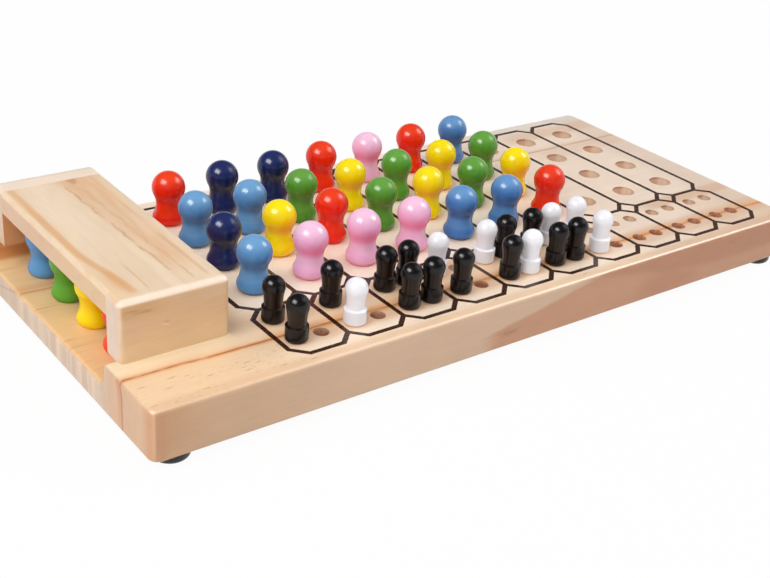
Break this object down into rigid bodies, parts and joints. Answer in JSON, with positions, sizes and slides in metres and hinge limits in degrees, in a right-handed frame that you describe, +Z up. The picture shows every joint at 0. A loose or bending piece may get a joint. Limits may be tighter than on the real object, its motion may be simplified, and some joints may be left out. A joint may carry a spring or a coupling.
{
  "type": "wooden code-breaking game",
  "caption": "Wooden code-breaking board on rubber feet, with rows of peg holes, coloured code pegs, small key pegs and a lift-off cover over the hidden code.",
  "frame": {"origin": "on the table, under the middle of the board, at the bottom of the rubber feet", "axes": "+X along the board from the hidden code to the last row, +Y from the key holes to the back of the board, +Z up"},
  "size_m": [0.323, 0.146, 0.0465],
  "materials": {
    "board_wood": "pale close-grained wood, clear satin lacquer",
    "cover_wood": "pale close-grained wood, clear satin lacquer",
    "foot_rubber": "smooth black rubber",
    "peg_light_blue": "gloss",
    "peg_blue": "gloss",
    "peg_navy": "gloss",
    "peg_red": "gloss",
    "peg_green": "gloss",
    "peg_yellow": "gloss",
    "peg_pink": "gloss",
    "peg_black": "gloss",
    "peg_white": "gloss"
  },
  "bodies": {
    "board": {"game_board": "board_wood", "rubber_feet": "foot_rubber"},
    "cover": {"cover_front_wall": "cover_wood", "cover_back_wall": "cover_wood", "cover_end_wall": "cover_wood", "cover_top_panel": "cover_wood"},
    "code_peg_row1_place1_light_blue": {"code_peg_row1_place1_light_blue": "peg_light_blue"},
    "code_peg_row1_place2_navy": {"code_peg_row1_place2_navy": "peg_navy"},
    "code_peg_row1_place3_light_blue": {"code_peg_row1_place3_light_blue": "peg_light_blue"},
    "code_peg_row1_place4_red": {"code_peg_row1_place4_red": "peg_red"},
    "code_peg_row2_place1_pink": {"code_peg_row2_place1_pink": "peg_pink"},
    "code_peg_row2_place2_yellow": {"code_peg_row2_place2_yellow": "peg_yellow"},
    "code_peg_row2_place3_light_blue": {"code_peg_row2_place3_light_blue": "peg_light_blue"},
    "code_peg_row2_place4_navy": {"code_peg_row2_place4_navy": "peg_navy"},
    "code_peg_row3_place1_pink": {"code_peg_row3_place1_pink": "peg_pink"},
    "code_peg_row3_place2_red": {"code_peg_row3_place2_red": "peg_red"},
    "code_peg_row3_place3_green": {"code_peg_row3_place3_green": "peg_green"},
    "code_peg_row3_place4_navy": {"code_peg_row3_place4_navy": "peg_navy"},
    "code_peg_row4_place1_pink": {"code_peg_row4_place1_pink": "peg_pink"},
    "code_peg_row4_place2_green": {"code_peg_row4_place2_green": "peg_green"},
    "code_peg_row4_place3_yellow": {"code_peg_row4_place3_yellow": "peg_yellow"},
    "code_peg_row4_place4_red": {"code_peg_row4_place4_red": "peg_red"},
    "code_peg_row5_place1_blue": {"code_peg_row5_place1_blue": "peg_blue"},
    "code_peg_row5_place2_yellow": {"code_peg_row5_place2_yellow": "peg_yellow"},
    "code_peg_row5_place3_green": {"code_peg_row5_place3_green": "peg_green"},
    "code_peg_row5_place4_pink": {"code_peg_row5_place4_pink": "peg_pink"},
    "code_peg_row6_place1_blue": {"code_peg_row6_place1_blue": "peg_blue"},
    "code_peg_row6_place2_green": {"code_peg_row6_place2_green": "peg_green"},
    "code_peg_row6_place3_yellow": {"code_peg_row6_place3_yellow": "peg_yellow"},
    "code_peg_row6_place4_red": {"code_peg_row6_place4_red": "peg_red"},
    "code_peg_row7_place1_red": {"code_peg_row7_place1_red": "peg_red"},
    "code_peg_row7_place2_yellow": {"code_peg_row7_place2_yellow": "peg_yellow"},
    "code_peg_row7_place3_green": {"code_peg_row7_place3_green": "peg_green"},
    "code_peg_row7_place4_blue": {"code_peg_row7_place4_blue": "peg_blue"},
    "hidden_code_peg_place1_red": {"hidden_code_peg_place1_red": "peg_red"},
    "hidden_code_peg_place2_yellow": {"hidden_code_peg_place2_yellow": "peg_yellow"},
    "hidden_code_peg_place3_green": {"hidden_code_peg_place3_green": "peg_green"},
    "hidden_code_peg_place4_blue": {"hidden_code_peg_place4_blue": "peg_blue"},
    "key_peg_row1_place1_black": {"key_peg_row1_place1_black": "peg_black"},
    "key_peg_row1_place3_black": {"key_peg_row1_place3_black": "peg_black"},
    "key_peg_row2_place1_white": {"key_peg_row2_place1_white": "peg_white"},
    "key_peg_row2_place3_black": {"key_peg_row2_place3_black": "peg_black"},
    "key_peg_row3_place1_black": {"key_peg_row3_place1_black": "peg_black"},
    "key_peg_row3_place2_black": {"key_peg_row3_place2_black": "peg_black"},
    "key_peg_row3_place3_black": {"key_peg_row3_place3_black": "peg_black"},
    "key_peg_row3_place4_black": {"key_peg_row3_place4_black": "peg_black"},
    "key_peg_row4_place1_black": {"key_peg_row4_place1_black": "peg_black"},
    "key_peg_row4_place3_white": {"key_peg_row4_place3_white": "peg_white"},
    "key_peg_row5_place1_black": {"key_peg_row5_place1_black": "peg_black"},
    "key_peg_row5_place2_white": {"key_peg_row5_place2_white": "peg_white"},
    "key_peg_row5_place3_white": {"key_peg_row5_place3_white": "peg_white"},
    "key_peg_row5_place4_black": {"key_peg_row5_place4_black": "peg_black"},
    "key_peg_row6_place1_black": {"key_peg_row6_place1_black": "peg_black"},
    "key_peg_row6_place2_black": {"key_peg_row6_place2_black": "peg_black"},
    "key_peg_row6_place3_black": {"key_peg_row6_place3_black": "peg_black"},
    "key_peg_row6_place4_white": {"key_peg_row6_place4_white": "peg_white"},
    "key_peg_row7_place1_white": {"key_peg_row7_place1_white": "peg_white"},
    "key_peg_row7_place3_white": {"key_peg_row7_place3_white": "peg_white"}
  },
  "joints": [
    {"name": "cover_lift", "type": "slide", "parent": "board", "child": "cover", "axis": [0, 0, 1], "range_m": [0, 0.04]},
    {"name": "code_peg_row1_place1_light_blue_lift", "type": "slide", "parent": "board", "child": "code_peg_row1_place1_light_blue", "axis": [0, 0, 1], "range_m": [0, 0.035]},
    {"name": "code_peg_row1_place2_navy_lift", "type": "slide", "parent": "board", "child": "code_peg_row1_place2_navy", "axis": [0, 0, 1], "range_m": [0, 0.035]},
    {"name": "code_peg_row1_place3_light_blue_lift", "type": "slide", "parent": "board", "child": "code_peg_row1_place3_light_blue", "axis": [0, 0, 1], "range_m": [0, 0.035]},
    {"name": "code_peg_row1_place4_red_lift", "type": "slide", "parent": "board", "child": "code_peg_row1_place4_red", "axis": [0, 0, 1], "range_m": [0, 0.035]},
    {"name": "code_peg_row2_place1_pink_lift", "type": "slide", "parent": "board", "child": "code_peg_row2_place1_pink", "axis": [0, 0, 1], "range_m": [0, 0.035]},
    {"name": "code_peg_row2_place2_yellow_lift", "type": "slide", "parent": "board", "child": "code_peg_row2_place2_yellow", "axis": [0, 0, 1], "range_m": [0, 0.035]},
    {"name": "code_peg_row2_place3_light_blue_lift", "type": "slide", "parent": "board", "child": "code_peg_row2_place3_light_blue", "axis": [0, 0, 1], "range_m": [0, 0.035]},
    {"name": "code_peg_row2_place4_navy_lift", "type": "slide", "parent": "board", "child": "code_peg_row2_place4_navy", "axis": [0, 0, 1], "range_m": [0, 0.035]},
    {"name": "code_peg_row3_place1_pink_lift", "type": "slide", "parent": "board", "child": "code_peg_row3_place1_pink", "axis": [0, 0, 1], "range_m": [0, 0.035]},
    {"name": "code_peg_row3_place2_red_lift", "type": "slide", "parent": "board", "child": "code_peg_row3_place2_red", "axis": [0, 0, 1], "range_m": [0, 0.035]},
    {"name": "code_peg_row3_place3_green_lift", "type": "slide", "parent": "board", "child": "code_peg_row3_place3_green", "axis": [0, 0, 1], "range_m": [0, 0.035]},
    {"name": "code_peg_row3_place4_navy_lift", "type": "slide", "parent": "board", "child": "code_peg_row3_place4_navy", "axis": [0, 0, 1], "range_m": [0, 0.035]},
    {"name": "code_peg_row4_place1_pink_lift", "type": "slide", "parent": "board", "child": "code_peg_row4_place1_pink", "axis": [0, 0, 1], "range_m": [0, 0.035]},
    {"name": "code_peg_row4_place2_green_lift", "type": "slide", "parent": "board", "child": "code_peg_row4_place2_green", "axis": [0, 0, 1], "range_m": [0, 0.035]},
    {"name": "code_peg_row4_place3_yellow_lift", "type": "slide", "parent": "board", "child": "code_peg_row4_place3_yellow", "axis": [0, 0, 1], "range_m": [0, 0.035]},
    {"name": "code_peg_row4_place4_red_lift", "type": "slide", "parent": "board", "child": "code_peg_row4_place4_red", "axis": [0, 0, 1], "range_m": [0, 0.035]},
    {"name": "code_peg_row5_place1_blue_lift", "type": "slide", "parent": "board", "child": "code_peg_row5_place1_blue", "axis": [0, 0, 1], "range_m": [0, 0.035]},
    {"name": "code_peg_row5_place2_yellow_lift", "type": "slide", "parent": "board", "child": "code_peg_row5_place2_yellow", "axis": [0, 0, 1], "range_m": [0, 0.035]},
    {"name": "code_peg_row5_place3_green_lift", "type": "slide", "parent": "board", "child": "code_peg_row5_place3_green", "axis": [0, 0, 1], "range_m": [0, 0.035]},
    {"name": "code_peg_row5_place4_pink_lift", "type": "slide", "parent": "board", "child": "code_peg_row5_place4_pink", "axis": [0, 0, 1], "range_m": [0, 0.035]},
    {"name": "code_peg_row6_place1_blue_lift", "type": "slide", "parent": "board", "child": "code_peg_row6_place1_blue", "axis": [0, 0, 1], "range_m": [0, 0.035]},
    {"name": "code_peg_row6_place2_green_lift", "type": "slide", "parent": "board", "child": "code_peg_row6_place2_green", "axis": [0, 0, 1], "range_m": [0, 0.035]},
    {"name": "code_peg_row6_place3_yellow_lift", "type": "slide", "parent": "board", "child": "code_peg_row6_place3_yellow", "axis": [0, 0, 1], "range_m": [0, 0.035]},
    {"name": "code_peg_row6_place4_red_lift", "type": "slide", "parent": "board", "child": "code_peg_row6_place4_red", "axis": [0, 0, 1], "range_m": [0, 0.035]},
    {"name": "code_peg_row7_place1_red_lift", "type": "slide", "parent": "board", "child": "code_peg_row7_place1_red", "axis": [0, 0, 1], "range_m": [0, 0.035]},
    {"name": "code_peg_row7_place2_yellow_lift", "type": "slide", "parent": "board", "child": "code_peg_row7_place2_yellow", "axis": [0, 0, 1], "range_m": [0, 0.035]},
    {"name": "code_peg_row7_place3_green_lift", "type": "slide", "parent": "board", "child": "code_peg_row7_place3_green", "axis": [0, 0, 1], "range_m": [0, 0.035]},
    {"name": "code_peg_row7_place4_blue_lift", "type": "slide", "parent": "board", "child": "code_peg_row7_place4_blue", "axis": [0, 0, 1], "range_m": [0, 0.035]},
    {"name": "hidden_code_peg_place1_red_spin", "type": "hinge", "parent": "board", "child": "hidden_code_peg_place1_red", "pos_m": [-0.1453, -0.0186, 0.01425], "axis": [0, 0, 1], "continuous": true},
    {"name": "hidden_code_peg_place2_yellow_spin", "type": "hinge", "parent": "board", "child": "hidden_code_peg_place2_yellow", "pos_m": [-0.1453, 0.0039, 0.01425], "axis": [0, 0, 1], "continuous": true},
    {"name": "hidden_code_peg_place3_green_spin", "type": "hinge", "parent": "board", "child": "hidden_code_peg_place3_green", "pos_m": [-0.1453, 0.0264, 0.01425], "axis": [0, 0, 1], "continuous": true},
    {"name": "hidden_code_peg_place4_blue_spin", "type": "hinge", "parent": "board", "child": "hidden_code_peg_place4_blue", "pos_m": [-0.1453, 0.0489, 0.01425], "axis": [0, 0, 1], "continuous": true},
    {"name": "key_peg_row1_place1_black_lift", "type": "slide", "parent": "board", "child": "key_peg_row1_place1_black", "axis": [0, 0, 1], "range_m": [0, 0.03]},
    {"name": "key_peg_row1_place3_black_lift", "type": "slide", "parent": "board", "child": "key_peg_row1_place3_black", "axis": [0, 0, 1], "range_m": [0, 0.03]},
    {"name": "key_peg_row2_place1_white_lift", "type": "slide", "parent": "board", "child": "key_peg_row2_place1_white", "axis": [0, 0, 1], "range_m": [0, 0.03]},
    {"name": "key_peg_row2_place3_black_lift", "type": "slide", "parent": "board", "child": "key_peg_row2_place3_black", "axis": [0, 0, 1], "range_m": [0, 0.03]},
    {"name": "key_peg_row3_place1_black_lift", "type": "slide", "parent": "board", "child": "key_peg_row3_place1_black", "axis": [0, 0, 1], "range_m": [0, 0.03]},
    {"name": "key_peg_row3_place2_black_lift", "type": "slide", "parent": "board", "child": "key_peg_row3_place2_black", "axis": [0, 0, 1], "range_m": [0, 0.03]},
    {"name": "key_peg_row3_place3_black_lift", "type": "slide", "parent": "board", "child": "key_peg_row3_place3_black", "axis": [0, 0, 1], "range_m": [0, 0.03]},
    {"name": "key_peg_row3_place4_black_lift", "type": "slide", "parent": "board", "child": "key_peg_row3_place4_black", "axis": [0, 0, 1], "range_m": [0, 0.03]},
    {"name": "key_peg_row4_place1_black_lift", "type": "slide", "parent": "board", "child": "key_peg_row4_place1_black", "axis": [0, 0, 1], "range_m": [0, 0.03]},
    {"name": "key_peg_row4_place3_white_lift", "type": "slide", "parent": "board", "child": "key_peg_row4_place3_white", "axis": [0, 0, 1], "range_m": [0, 0.03]},
    {"name": "key_peg_row5_place1_black_lift", "type": "slide", "parent": "board", "child": "key_peg_row5_place1_black", "axis": [0, 0, 1], "range_m": [0, 0.03]},
    {"name": "key_peg_row5_place2_white_lift", "type": "slide", "parent": "board", "child": "key_peg_row5_place2_white", "axis": [0, 0, 1], "range_m": [0, 0.03]},
    {"name": "key_peg_row5_place3_white_lift", "type": "slide", "parent": "board", "child": "key_peg_row5_place3_white", "axis": [0, 0, 1], "range_m": [0, 0.03]},
    {"name": "key_peg_row5_place4_black_lift", "type": "slide", "parent": "board", "child": "key_peg_row5_place4_black", "axis": [0, 0, 1], "range_m": [0, 0.03]},
    {"name": "key_peg_row6_place1_black_lift", "type": "slide", "parent": "board", "child": "key_peg_row6_place1_black", "axis": [0, 0, 1], "range_m": [0, 0.03]},
    {"name": "key_peg_row6_place2_black_lift", "type": "slide", "parent": "board", "child": "key_peg_row6_place2_black", "axis": [0, 0, 1], "range_m": [0, 0.03]},
    {"name": "key_peg_row6_place3_black_lift", "type": "slide", "parent": "board", "child": "key_peg_row6_place3_black", "axis": [0, 0, 1], "range_m": [0, 0.03]},
    {"name": "key_peg_row6_place4_white_lift", "type": "slide", "parent": "board", "child": "key_peg_row6_place4_white", "axis": [0, 0, 1], "range_m": [0, 0.03]},
    {"name": "key_peg_row7_place1_white_lift", "type": "slide", "parent": "board", "child": "key_peg_row7_place1_white", "axis": [0, 0, 1], "range_m": [0, 0.03]},
    {"name": "key_peg_row7_place3_white_lift", "type": "slide", "parent": "board", "child": "key_peg_row7_place3_white", "axis": [0, 0, 1], "range_m": [0, 0.03]}
  ]
}
